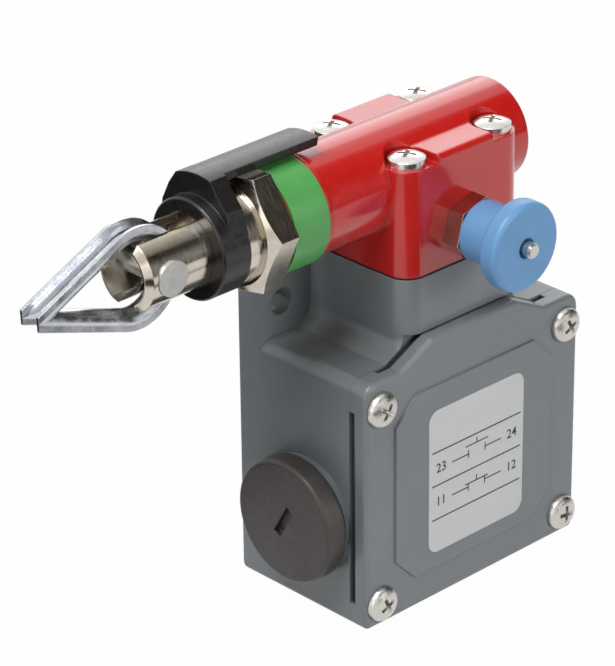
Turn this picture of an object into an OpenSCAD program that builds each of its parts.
// Rope pull switch: a cast switch body with a pull-to-trip head, a tension
// indicator, a clevis with a rope thimble, and a pull-to-reset knob.
//
// The origin lies on the wall face, midway between the two fixing holes.
// +X runs along the pull axis away from the rope, -Y faces the cover, +Z is up.
// Heights named *_h are measured from the underside of the switch body.

/* [Switch body] */
// Width of the switch body
body_w = 56; // [54:1:60]
// Depth of the cast body, wall face to front rim
body_d = 28.6; // [28:0.1:30]
// Height of the shoulders beside the turret
shoulder_h = 50; // [49:0.5:51]
// Rounding of the upper edges of body and cover
edge_r = 2.6; // [1.5:0.1:3]
// Rounding of the lower edges of body and cover
low_edge_r = 1; // [0.5:0.1:2]
// Wall thickness of the casting
wall_t = 3; // [2.5:0.25:3.5]
// Thickness of the fixing flange behind the head
flange_t = 5.8; // [5:0.2:6]
// Height of the interface between turret and head
turret_h = 65.2; // [63:0.2:66]
// Distance between the two fixing holes
fixing_pitch = 45.4; // [44:0.2:46]
// Height of the fixing holes
fixing_h = 56.3; // [55:0.1:57]
// Diameter of the fixing holes
fixing_d = 5.3; // [4.3:0.1:5.5]

/* [Cover] */
// Thickness of the cover plate
cover_t = 2.9; // [2:0.1:3.5]
// Thickness of the cover gasket
gasket_t = 1.4; // [0.8:0.1:1.6]
// Height of the raised middle of the cover's top edge
crest_h = 54; // [53:0.5:55]
// Half spacing of the cover screws, across
cover_screw_x = 24.2; // [23.5:0.1:24.5]
// Height of the lower and upper cover screws
cover_screw_h = [4.6, 44.6];

/* [Conduit entries] */
// Core diameter of an M20 entry
entry_d = 18.4; // [18:0.1:19]
// Depth of the entries from the wall face
entry_y = 17.5; // [17:0.1:18]
// Height of the side entries
entry_h = 19.3; // [19:0.1:20]
// Diameter of the blanking plug's flange
plug_d = 24.2; // [23:0.1:25]
// Thickness of the blanking plug's flange
plug_t = 4.2; // [3:0.1:5]

/* [Head] */
// Height of the pull axis
axis_h = 80.9; // [80.5:0.1:81.5]
// Distance of the pull axis from the wall
axis_y = 16.7; // [16.5:0.1:17]
// Outer diameter of the head's tube
tube_d = 19.6; // [19.4:0.1:20]
// Inner diameter of the head's tube
bore_d = 12; // [11.8:0.1:12.2]
// Height of the flat top of the head's block
block_h = 87.8; // [87.4:0.1:88.6]
// Closed end of the tube
tube_end_x = 20.8; // [20:0.2:22]
// Open end of the tube, left of the centre
tube_mouth_x = 39.4; // [39:0.1:39.6]
// Half spacing of the head screws, across and in depth
head_screw = [11, 9.5];

/* [Pull rod] */
// Diameter of the pull rod
rod_d = 8; // [7:0.5:8]
// Travel of the pull rod
pull_travel = 14; // [10:1:14]
// Travel of the plunger over the same stroke
plunger_travel = 2; // [1.5:0.25:2]
// Diameter of the clevis
clevis_d = 13.6; // [13.2:0.1:14]
// Width of the clevis slot
slot_w = 5.4; // [5.2:0.1:6]
// Distance of the clevis pin from the centre
pin_x = 64.2; // [63.5:0.1:64.5]

/* [Rope thimble] */
// Outer radius of the thimble's bow
bow_r = 9.5; // [9:0.1:9.8]
// Radius of the rope groove
groove_r = 1.8; // [1.5:0.05:1.9]
// Sheet thickness of the thimble
sheet_t = 0.6; // [0.5:0.05:0.8]
// Distance from the bow's centre to where the two sides would meet
thimble_reach = 25.4; // [24:0.2:27]
// Distance from the bow's centre to the cut-off tips
thimble_tip = 22; // [20:0.5:24]
// Droop of the thimble below the pull axis, in degrees
thimble_droop = 3; // [0:1:10]

/* [Reset knob] */
// Height of the reset axis
reset_h = 72.3; // [72:0.1:73]
// Diameter of the knob's rim
knob_d = 16.9; // [16:0.1:18]
// Diameter of the knob's barrel
barrel_d = 11.6; // [11:0.1:12]
// Depth of the knob's front face from the wall
knob_face_y = 45.2; // [44:0.1:46]
// Travel of the knob when it is pulled
reset_travel = 5; // [4:0.5:5]

/* [Hidden] */
$fn = 64;

eps = 0.01;
half_w = body_w / 2;
floor_z = -fixing_h;
axis_z = axis_h + floor_z;
reset_z = reset_h + floor_z;
run_gap = 0.05;

cast_grey = [0.41, 0.44, 0.46];
paint_red = [0.79, 0.12, 0.11];
band_green = [0.31, 0.65, 0.35];
knob_blue = [0.37, 0.59, 0.82];
nickel = [0.70, 0.67, 0.60];
zinc = [0.75, 0.77, 0.79];
steel = [0.72, 0.72, 0.70];
black = [0.10, 0.10, 0.10];
plug_brown = [0.26, 0.24, 0.22];
rubber_black = [0.07, 0.07, 0.07];
copper = [0.76, 0.47, 0.25];
moulding_grey = [0.30, 0.31, 0.33];

// Turret and head
head_gasket_t = 0.4;
head_base_h = turret_h + head_gasket_t;
head_boss_r = 4.1;
head_half = head_screw.x + head_boss_r;
head_y = [axis_y - head_screw.y - head_boss_r, axis_y + head_screw.y + head_boss_r];
pocket_h = 86.2;
pocket_r = 4.1;
tube_r = tube_d / 2;
band_x = [-38.9, -30.6];
foot_r = 3;
head_screw_len = 28;
screw_r = 2;

// Cover
cover_back_y = body_d + gasket_t;
cover_face_y = cover_back_y + cover_t;
rim_groove = 0.7;
ramp_x = [19, 11];
panel_t = 0.4;

// Pull rod, clevis and sleeve along the pull axis
rod_r = rod_d / 2;
bore_r = bore_d / 2;
bore_end_x = 17.2;
cam_x = [-2, 15];
cam_root_r = 3.6;
cam_slope = plunger_travel / pull_travel;
cam_angle = atan(cam_slope);
tip_r = 3;
spring_seat_x = [-5, -3];
clevis_x = [-69.6, -50.8];
clevis_bore_r = 5.4;
slot_end_x = -54.6;
sleeve_x = [-54.8, -48.6];
sleeve_r = 9.4;
arm_r = [11.6, 13.35];
arm_x = [-52.3, -26.1];
arm_angle = [-12, 22];

// Hexagon bush in the tube's mouth
bush_neck_x = -48.3;
bush_hex_x = [-45.1, -39.7];
bush_end_x = -31;
bush_af = 21;
bush_neck_r = 9;
thread_r = 8.4;

// Thimble section and path
thimble_w = 2 * (groove_r + sheet_t);
lip = 1.05;
bow_path_r = bow_r - lip;
pin_r = 2.1;
pin_head_r = 3.25;
pin_seat = 6.2;
eye_r = bow_path_r - groove_r - sheet_t;
bow_x = -(eye_r - pin_r - run_gap);
leg_angle = asin(bow_r / thimble_reach);

// Reset group
reset_hex_af = 10.6;
reset_hex_y = [head_y[1], 33.9];
reset_shaft_r = 1.5;
reset_bush_inner_y = 25;
reset_bush_r = 4.6;
reset_cup_r = 3.35;
reset_tip_y = 20.15;

// Plunger group, heights from the underside
plunger_r = 3;
stem_r = 1.8;
tip_centre_h = axis_h - cam_root_r - (tip_r + run_gap) / cos(cam_angle);
bridge_h = 30;
contact_top_h = bridge_h + 1.4;
bridge_y = [13.1, 20.3];
terminal_y = [12.2, 21.2];
terminal_x = 17.2;
web_h = 60;
block_screw = [14, 17.6];
entry_ring_r = 11.3;
earth_x = -17;

// Extrudes a front-view outline (x, height) from one depth to another.
module slab(y0, y1) {
    translate([0, -y0, floor_z]) rotate([90, 0, 0]) linear_extrude(y1 - y0) children();
}

// Cylinder along the pull axis or parallel to it, between two x values.
module rod_x(x0, x1, r, y = axis_y, z = axis_z) {
    translate([x0, -y, z]) rotate([0, 90, 0]) cylinder(h = x1 - x0, r = r);
}

// Cylinder along Y, between two depths from the wall.
module rod_y(x, y0, y1, r, h) {
    translate([x, -y0, floor_z + h]) rotate([90, 0, 0]) cylinder(h = y1 - y0, r = r);
}

// Cylinder along Z, between two heights.
module rod_z(x, y, h0, h1, r) {
    translate([x, -y, floor_z + h0]) cylinder(h = h1 - h0, r = r);
}

// Rectangle with rounded corners, from its lower corner.
module round_rect(w, h, r) {
    translate([r, 0]) square([w - 2 * r, h]);
    translate([0, r]) square([w, h - 2 * r]);
    for (x = [r, w - r], y = [r, h - r]) translate([x, y]) circle(r);
}

// Upright block with rounded vertical edges between two depths and heights.
module tower(half, y0, y1, h0, h1, r) {
    translate([-half, -y1, floor_z + h0]) linear_extrude(h1 - h0) round_rect(2 * half, y1 - y0, r);
}

// The four cover screw positions, as x and height.
module at_cover_screws() {
    for (x = [-cover_screw_x, cover_screw_x], h = cover_screw_h) translate([x, 0, floor_z + h]) children();
}

// The four head screw positions, above the underside.
module at_head_screws() {
    for (x = [-head_screw.x, head_screw.x], y = [-head_screw.y, head_screw.y])
        translate([x, y - axis_y, floor_z]) children();
}

// Front outline shared by body, gasket and cover, pulled in by inset.
module front_outline(inset) {
    for (part = [0, 1]) outline_part(part, inset);
}

// The two convex parts of the front outline: the upright plate and the raised crest.
module outline_part(part, inset) {
    top_h = shoulder_h - inset;
    if (part == 0) translate([0, inset]) upright_outline(body_w - 2 * inset, top_h - inset);
    if (part == 1) polygon([[-ramp_x[0], top_h - 1], [-ramp_x[0], top_h], [-ramp_x[1], crest_h - inset],
        [ramp_x[1], crest_h - inset], [ramp_x[0], top_h], [ramp_x[0], top_h - 1]]);
}

// Rectangle centred across, with its upper corners rounded more than its lower ones.
module upright_outline(w, h) {
    translate([-w / 2, low_edge_r]) square([w, h - low_edge_r - edge_r]);
    translate([low_edge_r - w / 2, 0]) square([w - 2 * low_edge_r, h / 2]);
    translate([edge_r - w / 2, h / 2]) square([w - 2 * edge_r, h / 2]);
    for (side = [-1, 1]) {
        translate([side * (w / 2 - low_edge_r), low_edge_r]) circle(low_edge_r);
        translate([side * (w / 2 - edge_r), h - edge_r]) circle(edge_r);
    }
}

// Inside of the wiring compartment, with posts for the cover screws.
module compartment_outline() {
    post_r = 4.4;
    difference() {
        translate([-half_w + wall_t, wall_t]) square([body_w - 2 * wall_t, shoulder_h - 2 * wall_t]);
        for (x = [-cover_screw_x, cover_screw_x], h = cover_screw_h) translate([x, h]) circle(post_r);
    }
}

// Pan head screw along -Z: domed head above z = 0, cross recess, plain shank.
module pan_screw(head_r, head_t, shank_r, length) {
    dome_r = head_r * 2.2;
    recess_w = head_r * 0.22;
    difference() {
        union() {
            intersection() {
                cylinder(h = head_t, r = head_r);
                translate([0, 0, head_t - dome_r]) sphere(dome_r);
            }
            translate([0, 0, -length]) cylinder(h = length + eps, r = shank_r);
        }
        for (a = [0, 90]) rotate(a) translate([-head_r * 0.5, -recess_w / 2, head_t * 0.35])
            cube([head_r, recess_w, head_t]);
    }
}

// Coil spring along Z from 0 to length.
module coil(length, coil_r, wire_r, turns) {
    steps = 14;
    sides = 6;
    count = turns * steps;
    rings = [for (i = [0:count], k = [0:sides - 1])
        let (a = 360 * i / steps, t = 360 * k / sides, rise = wire_r + (length - 2 * wire_r) * i / count)
        [(coil_r + wire_r * cos(t)) * cos(a), (coil_r + wire_r * cos(t)) * sin(a), rise + wire_r * sin(t)]];
    walls = [for (i = [0:count - 1], k = [0:sides - 1])
        let (n = (k + 1) % sides) [i * sides + k, (i + 1) * sides + k, (i + 1) * sides + n, i * sides + n]];
    ends = [[for (k = [0:sides - 1]) k], [for (k = [sides - 1:-1:0]) count * sides + k]];
    polyhedron(rings, concat(walls, ends), convexity = 8);
}

module switch_body() {
    post_core_r = screw_r + run_gap;
    color(cast_grey) difference() {
        union() {
            slab(0, body_d) front_outline(0);
            slab(0, flange_t) translate([-half_w, 0]) round_rect(body_w, turret_h, 3);
            tower(head_half, 0, head_y[1], shoulder_h - 4, turret_h, head_boss_r);
            turret_foot();
            rod_x(-half_w - 1, -half_w + 1, entry_ring_r, entry_y, floor_z + entry_h);
        }
        difference() {
            slab(wall_t, body_d + 1) compartment_outline();
            entry_bosses();
            for (side = [-1, 1]) rod_y(side * block_screw.x, wall_t - 1, 5.5, 3.5, block_screw.y);
        }
        translate([-half_w, -body_d - 6, floor_z]) cube([body_w, 6, crest_h + 0.3]);
        rear_edge_cut();
        tower(7.4, 9, 24.4, shoulder_h - wall_t - 1, web_h, 1);
        rod_z(0, axis_y, web_h - 1, turret_h + 1, plunger_r + run_gap);
        rod_z(0, axis_y, turret_h - 2, turret_h + 1, 5.2);
        for (x = [-1, 1]) rod_y(x * fixing_pitch / 2, -1, flange_t + 1, fixing_d / 2, fixing_h);
        at_cover_screws() rotate([90, 0, 0]) translate([0, 0, body_d - 13]) cylinder(h = 20,
            r = post_core_r);
        at_head_screws() translate([0, 0, pocket_h - head_screw_len - 0.5]) cylinder(h = 40,
            r = post_core_r);
        for (side = [-1, 1]) rod_y(side * block_screw.x, 1.2, 8, 1.5, block_screw.y);
        rod_y(earth_x, 1.2, 8, 1.65, 10);
        rod_x(-half_w - 2, -half_w + 8, entry_d / 2, entry_y, floor_z + entry_h);
        rod_z(0, entry_y, -1, 8, entry_d / 2);
    }
}

// Fillets between the turret's sides and the sloped shoulders.
module turret_foot() {
    corner_y = axis_y + head_screw.y;
    for (side = [0, 1]) mirror([side, 0, 0]) {
        slab(flange_t - 1, corner_y) foot_section();
        translate([head_screw.x, -corner_y, floor_z]) rotate(-90) rotate_extrude(angle = 90)
            translate([-head_screw.x, 0]) foot_section();
    }
}

// Section of that fillet, seen from the front.
module foot_section() {
    ramp = atan((crest_h - shoulder_h) / (ramp_x[0] - ramp_x[1]));
    centre_x = head_half + foot_r;
    centre = [centre_x, shoulder_h + (ramp_x[0] - centre_x) * tan(ramp) + foot_r / cos(ramp)];
    toe = centre - foot_r * [sin(ramp), cos(ramp)];
    difference() {
        polygon([centre, [head_half - 1, centre.y], [head_half - 1, toe.y - 1], [toe.x, toe.y - 1], toe]);
        translate(centre) circle(foot_r);
    }
}

// Rounds the lower rear edge of the body.
module rear_edge_cut() {
    round_r = 1.8;
    translate([-half_w - 1, 0, floor_z]) rotate([90, 0, 90]) linear_extrude(body_w + 2) difference() {
        translate([-round_r, -1]) square([round_r + 1, round_r + 1]);
        translate([-round_r, round_r]) circle(round_r);
    }
}

// Material left inside the compartment round the two conduit threads.
module entry_bosses() {
    boss_t = 2.6;
    rod_x(-half_w + wall_t - 1, -half_w + wall_t + boss_t, entry_ring_r, entry_y, floor_z + entry_h);
    rod_z(0, entry_y, wall_t - 1, wall_t + boss_t, entry_ring_r);
}

module front_cover() {
    color(cast_grey) difference() {
        union() {
            for (part = [0, 1]) cover_shell(part, $fn = 32);
            slab(body_d, cover_back_y + eps) lip_outline();
            slab(cover_face_y - eps, cover_face_y + panel_t) cover_panel();
        }
        at_cover_screws() rotate([90, 0, 0]) cylinder(h = 40, r = screw_r + 0.2);
        slab(cover_back_y - 1, cover_back_y + 0.8) compartment_outline();
    }
}

// One convex part of the cover plate, with a rounded front edge.
module cover_shell(part) {
    round_r = 0.8;
    hull() {
        slab(cover_back_y, cover_face_y - round_r) outline_part(part, 0);
        for (a = [30, 60, 90]) {
            y = cover_face_y - round_r * (1 - sin(a));
            slab(y - eps, y) outline_part(part, round_r * (1 - cos(a)));
        }
    }
}

// Lips at the four corners that bridge the gasket's gap and bear on the rim.
module lip_outline() {
    intersection() {
        difference() {
            front_outline(0);
            front_outline(rim_groove - run_gap);
        }
        for (side = [-1, 1], h = [-2, 44]) translate([side * (half_w - 3) - 3, h]) square([6, 6.5]);
    }
}

// Raised field on the cover with cut corners.
module cover_panel() {
    half = 20.7;
    low = 6.6;
    high = 44.4;
    cut = 5;
    polygon([[-half + cut, low], [half - cut, low], [half, low + cut], [half, high - cut],
        [half - cut, high], [-half + cut, high], [-half, high - cut], [-half, low + cut]]);
}

module cover_gasket() {
    color(rubber_black) difference() {
        slab(body_d, cover_back_y) front_outline(rim_groove);
        slab(body_d - 1, cover_back_y + 1) compartment_outline();
        at_cover_screws() rotate([90, 0, 0]) cylinder(h = 40, r = screw_r + 0.2);
    }
}

module cover_screws() {
    color(steel) at_cover_screws() translate([0, -cover_face_y, 0]) rotate([90, 0, 0]) rotate(45)
        pan_screw(4, 2.6, screw_r, 14);
}

// Slotted blanking plug of the left entry: flange outside, hollow stem inside.
module entry_plug() {
    face_x = -half_w - 1;
    seal_t = 0.9;
    rim_r = 0.9;
    stem_r = entry_d / 2 - run_gap;
    z = floor_z + entry_h;
    color(plug_brown) difference() {
        union() {
            rod_x(face_x - seal_t - 1, face_x + 9, stem_r, entry_y, z);
            rod_x(face_x - seal_t - plug_t + rim_r, face_x - seal_t, plug_d / 2, entry_y, z);
            translate([face_x - seal_t - plug_t + rim_r, -entry_y, z]) rotate([0, -90, 0])
                rounded_end(plug_d / 2, rim_r);
        }
        rod_x(face_x - 1.5, face_x + 12, stem_r - 2, entry_y, z);
        translate([face_x - seal_t - plug_t, -entry_y, z]) rotate([29.5, 0, 0]) cube([2.6, 1.9, 7.1],
            center = true);
    }
}

module plug_seal() {
    color(rubber_black) difference() {
        rod_x(-half_w - 1.9, -half_w - 1, 11, entry_y, floor_z + entry_h);
        rod_x(-half_w - 3, -half_w, entry_d / 2 + run_gap, entry_y, floor_z + entry_h);
    }
}

// Moulded contact block with an open middle chamber for the moving bridge.
module contact_block() {
    block_half = 17;
    block_y = [5.5, 26.5];
    low = 15;
    high = 42;
    depth = block_y[1] - block_y[0];
    color(moulding_grey) difference() {
        slab(block_y[0], block_y[1]) translate([-block_half, low]) square([2 * block_half, high - low]);
        slab(block_y[0] + 4, block_y[1] - 3) translate([-13.5, low + 5]) square([27, high - low - 8]);
        rod_z(0, axis_y, high - 5, high + 1, plunger_r + 0.4);
        for (side = [-1, 1], y = terminal_y) slab(y - 2.9, y + 2.9) translate([side * 17 - 3.6, 33])
            square([7.2, 12]);
        for (side = [-1, 1]) rod_y(side * block_screw.x, 0, 30, 1.6, block_screw.y);
        for (x = [-9, 0, 9]) rod_y(x, block_y[1] - 1.5, block_y[1] + 1, 2, low + 2.4);
        slab(block_y[1] - 1, block_y[1] + 1) translate([-8, 27]) square([16, 9]);
    }
}

// Fixed contacts: a strip on each side that runs from its screw terminal to the chamber.
module terminal_plates() {
    color(copper) for (side = [0, 1], i = [0, 1]) mirror([side, 0, 0]) difference() {
        union() {
            translate([14.4, -terminal_y[i] - 2.6, floor_z + 33]) cube([5.6, 5.2, 1]);
            translate([8, -bridge_y[i] - 1.3, floor_z + 33]) cube([7, 2.6, 1]);
            rod_z(9.5, bridge_y[i], contact_top_h + run_gap, 33.5, 1.1);
        }
        rod_z(terminal_x, terminal_y[i], 30, 36, 1.3);
    }
}

module terminal_screws() {
    color(steel) for (side = [-1, 1], y = terminal_y)
        translate([side * terminal_x, -y, floor_z + 34]) pan_screw(2.4, 1.6, 1.25, 1);
}

module block_screws() {
    color(steel) for (side = [-1, 1])
        translate([side * block_screw.x, -26.5, floor_z + block_screw.y]) rotate([90, 0, 0])
            pan_screw(2.8, 1.8, 1.45, 24.5);
}

module earth_screw() {
    color(steel) translate([earth_x, -wall_t - 1.2, floor_z + 10]) rotate([90, 0, 0]) union() {
        pan_screw(3, 1.9, 1.6, 2.8);
        translate([0, 0, -1.2]) difference() {
            cylinder(h = 1.2, r = 3.6);
            translate([0, 0, -1]) cylinder(h = 4, r = 1.55);
        }
    }
}

// O-ring with its axis along Z.
module o_ring(ring_r, cord_r) {
    rotate_extrude($fn = 48) translate([ring_r, 0]) circle(cord_r, $fn = 20);
}

module plunger_seal() {
    color(rubber_black) translate([0, -axis_y, floor_z + turret_h - 1.1]) o_ring(plunger_r + 1, 0.9);
}

module head_gasket() {
    color(rubber_black) difference() {
        tower(head_half - 0.8, head_y[0] + 0.8, head_y[1] - 0.8, turret_h, head_base_h, head_boss_r - 0.8);
        rod_z(0, axis_y, 0, 80, 6.5);
        at_head_screws() cylinder(h = 80, r = screw_r + 0.2);
    }
}

module head_housing() {
    tube_round = 0.6;
    collar_w = 0.9;
    color(paint_red) difference() {
        union() {
            difference() {
                head_block();
                for (sx = [-1, 1], sy = [-1, 1])
                    translate([sx * head_screw.x, sy * head_screw.y - axis_y, floor_z + pocket_h])
                        mirror([sx < 0 ? 1 : 0, 0, 0]) mirror([0, sy < 0 ? 1 : 0, 0]) pocket_corner();
            }
            rod_x(-tube_mouth_x, tube_end_x - tube_round, tube_r);
            translate([tube_end_x - tube_round, -axis_y, axis_z]) rotate([0, 90, 0]) rounded_end(tube_r,
                tube_round);
            rod_x(band_x[1], band_x[1] + collar_w, tube_r + 0.4);
        }
        rod_x(-tube_mouth_x - 1, bore_end_x, bore_r);
        rod_x(-tube_mouth_x - 1, bush_end_x, thread_r + run_gap);
        rod_z(0, axis_y, head_base_h - 1, axis_h, plunger_r + 0.4);
        rod_z(0, axis_y, head_base_h - 1, head_base_h + 2, 5.5);
        rod_y(0, reset_bush_inner_y, head_y[1] + 1, reset_bush_r + run_gap, reset_h);
        rod_y(0, axis_y, head_y[1], reset_cup_r + 0.15, reset_h);
        at_head_screws() cylinder(h = 100, r = screw_r + 0.2);
        at_head_screws() translate([0, 0, pocket_h]) cylinder(h = 10, r = pocket_r);
    }
}

// Block of the head with rounded upper edges along its front and rear.
module head_block() {
    round_r = 1.1;
    difference() {
        tower(head_half, head_y[0], head_y[1], head_base_h, block_h, head_boss_r);
        for (side = [0, 1]) translate([0, -axis_y, 0]) mirror([0, side, 0])
            translate([-head_half - 1, head_screw.y + head_boss_r, floor_z + block_h])
                rotate([90, 0, 90]) linear_extrude(2 * head_half + 2) difference() {
                    translate([-round_r, -round_r]) square([round_r + 1, round_r + 1]);
                    translate([-round_r, -round_r]) circle(round_r);
                }
    }
}

// Rounded closing edge of the tube: a disc whose rim is a quarter round.
module rounded_end(r, round_r) {
    rotate_extrude() union() {
        square([r - round_r, round_r]);
        intersection() {
            translate([r - round_r, 0]) circle(round_r);
            square([r, round_r]);
        }
    }
}

// Opens a screw pocket outwards to the corner of the block.
module pocket_corner() {
    linear_extrude(10) polygon([[0, -pocket_r], [10, -pocket_r], [10, 10], [-pocket_r, 10], [-pocket_r, 0]]);
}

module head_screws() {
    color(steel) at_head_screws() translate([0, 0, pocket_h]) rotate(30)
        pan_screw(3.45, 2.2, screw_r, head_screw_len);
}

module indicator_band() {
    color(band_green) difference() {
        rod_x(band_x[0], band_x[1], 10.35);
        rod_x(band_x[0] - 1, band_x[1] + 1, tube_r);
    }
}

// Hexagon prism along X, given across flats and turned about its axis.
module hex_x(x0, x1, af, turn) {
    translate([x0, -axis_y, axis_z]) rotate([0, 90, 0]) rotate(turn) cylinder(h = x1 - x0,
        r = af / sqrt(3), $fn = 6);
}

module guide_bush() {
    hex_turn = 6;
    chamfer = 1.4;
    color(nickel) difference() {
        union() {
            rod_x(bush_neck_x, bush_hex_x[0] + 1, bush_neck_r);
            intersection() {
                hex_x(bush_hex_x[0], bush_hex_x[1], bush_af, -90 - hex_turn);
                translate([bush_hex_x[0], -axis_y, axis_z]) rotate([0, 90, 0]) union() {
                    cylinder(h = chamfer, r1 = bush_af / 2 - 0.8, r2 = bush_af / 2 + 1.8);
                    translate([0, 0, chamfer]) cylinder(h = 10, r = bush_af);
                }
            }
            rod_x(bush_hex_x[1] - 1, bush_end_x, thread_r);
        }
        rod_x(bush_neck_x - 1, bush_end_x + 1, rod_r + run_gap);
        rod_x(bush_neck_x + 1, bush_neck_x + 3.2, rod_r + 1.9);
        rod_x(bush_end_x - 6, bush_end_x + 1, bore_r - 0.3);
    }
}

module bush_seal() {
    color(rubber_black) translate([bush_neck_x + 2.1, -axis_y, axis_z]) rotate([0, 90, 0])
        o_ring(rod_r + run_gap + 0.9, 0.9);
}

module reset_bush() {
    color(nickel) difference() {
        union() {
            rod_y(0, reset_bush_inner_y, reset_hex_y[0] + 1, reset_bush_r, reset_h);
            translate([0, -reset_hex_y[0], reset_z]) rotate([90, 0, 0]) rotate(16)
                cylinder(h = reset_hex_y[1] - reset_hex_y[0], r = reset_hex_af / sqrt(3), $fn = 6);
        }
        rod_y(0, reset_bush_inner_y - 1, reset_hex_y[1] - 2.6, reset_cup_r, reset_h);
        rod_y(0, reset_bush_inner_y - 1, reset_hex_y[1] - 0.8, reset_shaft_r + 1.3, reset_h);
        rod_y(0, reset_bush_inner_y - 1, reset_hex_y[1] + 1, reset_shaft_r + run_gap, reset_h);
    }
}

module reset_seal() {
    color(rubber_black) translate([0, -reset_hex_y[1] + 1.6, reset_z]) rotate([90, 0, 0])
        o_ring(reset_shaft_r + run_gap + 0.6, 0.6);
}

// Pull rod with spring collar, cam cone and guide piston.
module pull_shaft() {
    piston_x = 16.6;
    cam_r = [cam_root_r + cam_slope * cam_x[0], cam_root_r + cam_slope * cam_x[1]];
    color(steel) union() {
        rod_x(slot_end_x + 0.2, spring_seat_x[1], rod_r);
        rod_x(spring_seat_x[0], spring_seat_x[1], bore_r - 0.4);
        rod_x(spring_seat_x[1] - 1, cam_x[0] + 0.5, cam_r[0]);
        translate([cam_x[0], -axis_y, axis_z]) rotate([0, 90, 0])
            cylinder(h = cam_x[1] - cam_x[0], r1 = cam_r[0], r2 = cam_r[1]);
        rod_x(cam_x[1] - eps, piston_x, bore_r - run_gap);
    }
}

module clevis() {
    chamfer = 1.1;
    clevis_r = clevis_d / 2;
    color(nickel) difference() {
        union() {
            rod_x(clevis_x[0] + chamfer, clevis_x[1], clevis_r);
            translate([clevis_x[0], -axis_y, axis_z]) rotate([0, 90, 0])
                cylinder(h = chamfer, r1 = clevis_r - chamfer, r2 = clevis_r);
        }
        translate([clevis_x[0] - 1, -axis_y - slot_w / 2, axis_z - 10])
            cube([slot_end_x - clevis_x[0] + 1, slot_w, 20]);
        rod_x(clevis_x[0] - 1, slot_end_x, clevis_bore_r);
        rod_y(-pin_x, 0, 40, pin_r + eps, axis_h);
        rod_y(-pin_x, axis_y + pin_seat, axis_y + 10, pin_head_r + run_gap, axis_h);
        rod_y(-pin_x, axis_y - 10, axis_y - pin_seat, pin_head_r + run_gap, axis_h);
        rod_x(slot_end_x - 1, clevis_x[1] + 1, rod_r);
    }
}

// Pin through both cheeks of the clevis, with a low head seated in each.
module clevis_pin() {
    head_t = 0.8;
    color(steel) union() {
        rod_y(-pin_x, axis_y - pin_seat - eps, axis_y + pin_seat + eps, pin_r, axis_h);
        rod_y(-pin_x, axis_y - pin_seat - head_t, axis_y - pin_seat, pin_head_r, axis_h);
        rod_y(-pin_x, axis_y + pin_seat, axis_y + pin_seat + head_t, pin_head_r, axis_h);
    }
}

// Sliding sleeve: a ring round the clevis root and an arm that reaches over the hexagon.
module indicator_sleeve() {
    recess_r = clevis_d / 2 + 0.02;
    nose = 0.3;
    color(black) difference() {
        union() {
            translate([sleeve_x[0], -axis_y, axis_z]) rotate([0, 90, 0])
                cylinder(h = nose, r1 = sleeve_r - nose, r2 = sleeve_r);
            rod_x(sleeve_x[0] + nose, sleeve_x[1], sleeve_r);
            translate([arm_x[0], 0, 0]) sleeve_profile(sleeve_x[1] - arm_x[0]) hub_sector();
            translate([arm_x[0], 0, 0]) sleeve_profile(arm_x[1] - arm_x[0]) arm_sector();
        }
        rod_x(sleeve_x[0] - 1, clevis_x[1], recess_r);
        rod_x(sleeve_x[0] - 1, sleeve_x[1] + 1, rod_r + 0.02);
    }
}

// Extrudes a profile seen along the pull axis: first axis towards the wall, second up.
module sleeve_profile(length) {
    translate([0, -axis_y, axis_z]) rotate([90, 0, 90]) linear_extrude(length) children();
}

// Arc-shaped section of the arm.
module arm_sector() {
    intersection() {
        difference() {
            circle(arm_r[1], $fn = 96);
            circle(arm_r[0], $fn = 96);
        }
        wedge(20);
    }
}

// Web that joins the ring to the arm, wider at its foot.
module hub_sector() {
    intersection() {
        circle(arm_r[1], $fn = 96);
        polygon([[sleeve_r - 0.6, 1], [9.4, 3], [9, 6.1], [7.2, 9.7], [5.6, 11.9], [4.6, 13.4], [-2.8, 13.6],
            [-5.6, 10], [-7.2, 8.2], [-sleeve_r + 0.6, 3.5]]);
    }
}

// Angular window of the arm, measured from straight up towards the wall.
module wedge(r) {
    polygon([[0, 0], [r * sin(arm_angle[1]), r * cos(arm_angle[1])], [0, r * 1.2],
        [r * sin(arm_angle[0]), r * cos(arm_angle[0])]]);
}

module tension_spring() {
    color(steel) translate([bush_end_x - 6, -axis_y, axis_z]) rotate([0, 90, 0])
        coil(spring_seat_x[0] - bush_end_x + 6, 5, 0.45, 12);
}

// Section of the thimble sheet: x outwards from the eye, y across.
module channel_section() {
    outer_r = groove_r + sheet_t;
    difference() {
        union() {
            circle(outer_r, $fn = 40);
            translate([0, -outer_r]) square([lip, 2 * outer_r]);
        }
        circle(groove_r, $fn = 40);
        translate([0, -groove_r]) square([outer_r + 1, 2 * groove_r]);
        translate([lip, -outer_r - 1]) square([outer_r, 2 * outer_r + 2]);
    }
}

// One straight side of the thimble, cut on the centre plane where the sides meet.
module thimble_leg() {
    leg_len = thimble_reach * cos(leg_angle) + lip;
    intersection() {
        rotate([0, -90 - leg_angle, 0]) translate([bow_path_r, 0, 0]) linear_extrude(leg_len)
            channel_section();
        translate([-thimble_tip, -bow_r, 0]) cube([thimble_tip, 2 * bow_r, 2 * bow_r]);
    }
}

module rope_thimble() {
    color(zinc) translate([-pin_x, -axis_y, axis_z]) rotate([0, -thimble_droop, 0]) translate([bow_x, 0,
        0]) {
        rotate([90, 0, 0]) rotate(-90 - leg_angle) rotate_extrude(angle = 180 + 2 * leg_angle, $fn = 72)
            translate([bow_path_r, 0]) channel_section();
        thimble_leg();
        mirror([0, 0, 1]) thimble_leg();
    }
}

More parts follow.
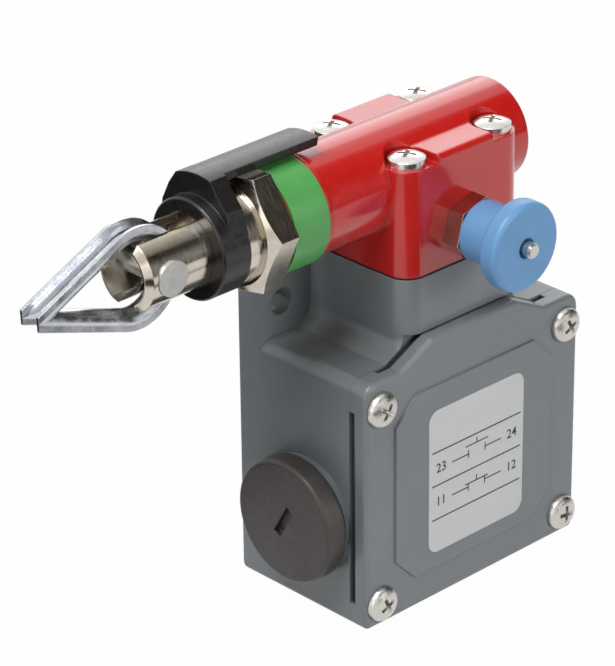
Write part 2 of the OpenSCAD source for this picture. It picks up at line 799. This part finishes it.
// Mushroom knob on the reset shaft.
module reset_knob() {
    barrel_y = reset_hex_y[1] + 0.3;
    rim_t = 3;
    flare = 2.2;
    rim_r = knob_d / 2;
    barrel_r = barrel_d / 2;
    color(knob_blue) translate([0, -barrel_y, reset_z]) rotate([90, 0, 0]) difference() {
        length = knob_face_y - barrel_y;
        union() {
            cylinder(h = length - 1, r = barrel_r);
            translate([0, 0, length - rim_t - flare]) cylinder(h = flare, r1 = barrel_r, r2 = rim_r - 1);
            translate([0, 0, length - rim_t]) cylinder(h = rim_t - 1, r = rim_r);
            translate([0, 0, length - 1]) rounded_end(rim_r, 1);
            translate([0, 0, length - rim_t]) mirror([0, 0, 1]) rounded_end(rim_r, 1);
        }
        translate([0, 0, -1]) cylinder(h = 20, r = reset_shaft_r);
        translate([0, 0, length - 0.8]) cylinder(h = 2, r = 1.9);
    }
}

module reset_shaft() {
    tip = 1;
    color(steel) union() {
        rod_y(0, reset_tip_y + tip, knob_face_y + 1.5, reset_shaft_r, reset_h);
        rod_y(0, knob_face_y + 1.5 - eps, knob_face_y + 1.9, reset_shaft_r - 0.3, reset_h);
        rod_y(0, reset_tip_y, reset_tip_y + tip + eps, reset_shaft_r - 0.4, reset_h);
        rod_y(0, reset_tip_y + tip, reset_tip_y + tip + 1, reset_cup_r - 0.35, reset_h);
    }
}

module reset_spring() {
    start_y = reset_tip_y + 2;
    end_y = reset_hex_y[1] - 2.6;
    color(steel) translate([0, -start_y, reset_z]) rotate([90, 0, 0]) coil(end_y - start_y, 2.8, 0.35, 5);
}

// Plunger with a ball tip, a latch groove under it and a thinner lower stem.
module plunger() {
    groove_h = reset_h + plunger_travel;
    groove_half = 1.2;
    stem_h = bridge_h + 8;
    color(steel) difference() {
        union() {
            translate([0, -axis_y, floor_z + tip_centre_h]) sphere(tip_r);
            rod_z(0, axis_y, stem_h, tip_centre_h, plunger_r);
            rod_z(0, axis_y, 24, stem_h + eps, stem_r);
        }
        difference() {
            rod_z(0, axis_y, groove_h - groove_half, groove_h + groove_half, plunger_r + 1);
            rod_z(0, axis_y, groove_h - 2, groove_h + 2, plunger_r - 0.8);
        }
    }
}

// Moulded carrier on the plunger that holds the two contact bridges.
module bridge_carrier() {
    color(moulding_grey) difference() {
        translate([-3, -axis_y - 5.2, floor_z + bridge_h - 3]) cube([6, 10.4, 6]);
        rod_z(0, axis_y, bridge_h - 5, bridge_h + 5, stem_r);
        for (y = bridge_y) translate([-5, -y - 1.3, floor_z + bridge_h]) cube([10, 2.6, 0.8]);
    }
}

// Two moving bridges with a contact tip at each end.
module contact_bridges() {
    span = 22;
    color(copper) for (y = bridge_y) {
        translate([-span / 2, -y - 1.3, floor_z + bridge_h]) cube([span, 2.6, 0.8]);
        for (x = [-9.5, 9.5]) rod_z(x, y, bridge_h + 0.5, contact_top_h, 1.1);
    }
}

module plunger_spring() {
    color(steel) translate([0, -axis_y, floor_z + 20]) coil(6.9, 2.5, 0.35, 4);
}

switch_body();
front_cover();
cover_gasket();
cover_screws();
entry_plug();
plug_seal();
contact_block();
terminal_plates();
terminal_screws();
block_screws();
earth_screw();
plunger_seal();
head_gasket();
head_housing();
head_screws();
indicator_band();
guide_bush();
bush_seal();
reset_bush();
reset_seal();
pull_shaft();
clevis();
clevis_pin();
indicator_sleeve();
tension_spring();
rope_thimble();
reset_knob();
reset_shaft();
reset_spring();
plunger();
bridge_carrier();
contact_bridges();
plunger_spring();
